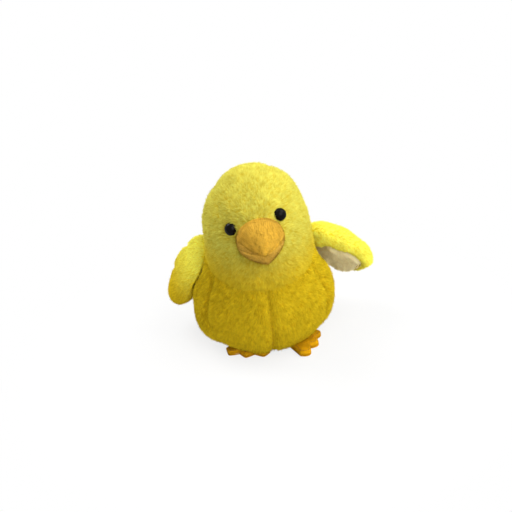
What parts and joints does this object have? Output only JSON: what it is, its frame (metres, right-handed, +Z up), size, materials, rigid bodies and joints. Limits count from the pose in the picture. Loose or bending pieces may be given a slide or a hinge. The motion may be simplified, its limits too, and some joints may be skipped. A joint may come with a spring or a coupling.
{
  "type": "plush canary",
  "caption": "Sitting plush canary with a domed head, bead eyes, a stuffed orange beak, sprung wings, felt feet and a short tail, on a flat base.",
  "frame": {"origin": "middle of the flat base, on the surface that the toy sits on", "axes": "+Z up, the bird faces -Y, and its own left is +X"},
  "size_m": [0.1479, 0.1299, 0.122],
  "materials": {
    "body_plush": "short golden yellow pile",
    "head_plush": "short lemon yellow pile",
    "wing_plush": "short vivid yellow pile",
    "cream_plush": "short cream pile",
    "beak_velour": "brushed peach orange velour",
    "beak_under_velour": "brushed pale peach velour",
    "foot_felt": "orange felt",
    "fibre_fill": "white fibre fill",
    "bag_cloth": "plain woven cloth",
    "bead": "polished black",
    "washer_plastic": "plain white"
  },
  "bodies": {
    "body": {"belly_panel_left": "body_plush", "belly_panel_right": "body_plush", "back_panel_left": "body_plush", "back_panel_right": "body_plush", "base_panel": "body_plush", "pellet_bag": "bag_cloth", "body_stuffing": "fibre_fill"},
    "neck": {"neck_stuffing": "fibre_fill"},
    "head": {"crown_gusset": "head_plush", "head_panel_left": "head_plush", "head_panel_right": "head_plush", "head_stuffing": "fibre_fill", "eye_left": "bead", "eye_right": "bead", "eye_washer_left": "washer_plastic", "eye_washer_right": "washer_plastic", "beak_upper": "beak_velour", "beak_lower": "beak_under_velour", "beak_stuffing": "fibre_fill"},
    "wing_left": {"wing_left_top": "wing_plush", "wing_left_underside": "cream_plush", "wing_left_stuffing": "fibre_fill"},
    "wing_right": {"wing_right_top": "wing_plush", "wing_right_underside": "cream_plush", "wing_right_stuffing": "fibre_fill"},
    "foot_left": {"foot_left_upper": "foot_felt", "foot_left_sole": "foot_felt", "foot_left_padding": "fibre_fill"},
    "foot_right": {"foot_right_upper": "foot_felt", "foot_right_sole": "foot_felt", "foot_right_padding": "fibre_fill"},
    "tail": {"tail_top": "wing_plush", "tail_underside": "cream_plush", "tail_stuffing": "fibre_fill"}
  },
  "joints": [
    {"name": "head_tilt", "type": "hinge", "parent": "body", "child": "neck", "pos_m": [0, 0, 0.042], "axis": [0, 1, 0], "range_deg": [-6, 6], "stiffness_Nm_per_rad": 0.25},
    {"name": "head_nod", "type": "hinge", "parent": "neck", "child": "head", "pos_m": [0, 0, 0.042], "axis": [1, 0, 0], "range_deg": [-5, 5], "stiffness_Nm_per_rad": 0.25},
    {"name": "wing_left_flap", "type": "hinge", "parent": "body", "child": "wing_left", "pos_m": [0.03074, 0.01775, 0.06242], "axis": [0.3021, -0.7056, 0.6409], "range_deg": [-8, 20], "stiffness_Nm_per_rad": 0.05},
    {"name": "wing_right_flap", "type": "hinge", "parent": "body", "child": "wing_right", "pos_m": [-0.03074, 0.01775, 0.06242], "axis": [-0.1199, 0.981, 0.1522], "range_deg": [0, 40], "stiffness_Nm_per_rad": 0.05},
    {"name": "foot_left_flex", "type": "hinge", "parent": "body", "child": "foot_left", "pos_m": [0.01479, -0.02089, 0], "axis": [-0.4695, -0.8829, 0], "range_deg": [-20, 4], "stiffness_Nm_per_rad": 0.01},
    {"name": "foot_right_flex", "type": "hinge", "parent": "body", "child": "foot_right", "pos_m": [-0.01479, -0.02089, 0], "axis": [-0.9511, 0.309, 0], "range_deg": [-20, 4], "stiffness_Nm_per_rad": 0.01},
    {"name": "tail_lift", "type": "hinge", "parent": "body", "child": "tail", "pos_m": [0, 0.0447, 0.034], "axis": [1, 0, 0], "range_deg": [-15, 30], "stiffness_Nm_per_rad": 0.02}
  ]
}
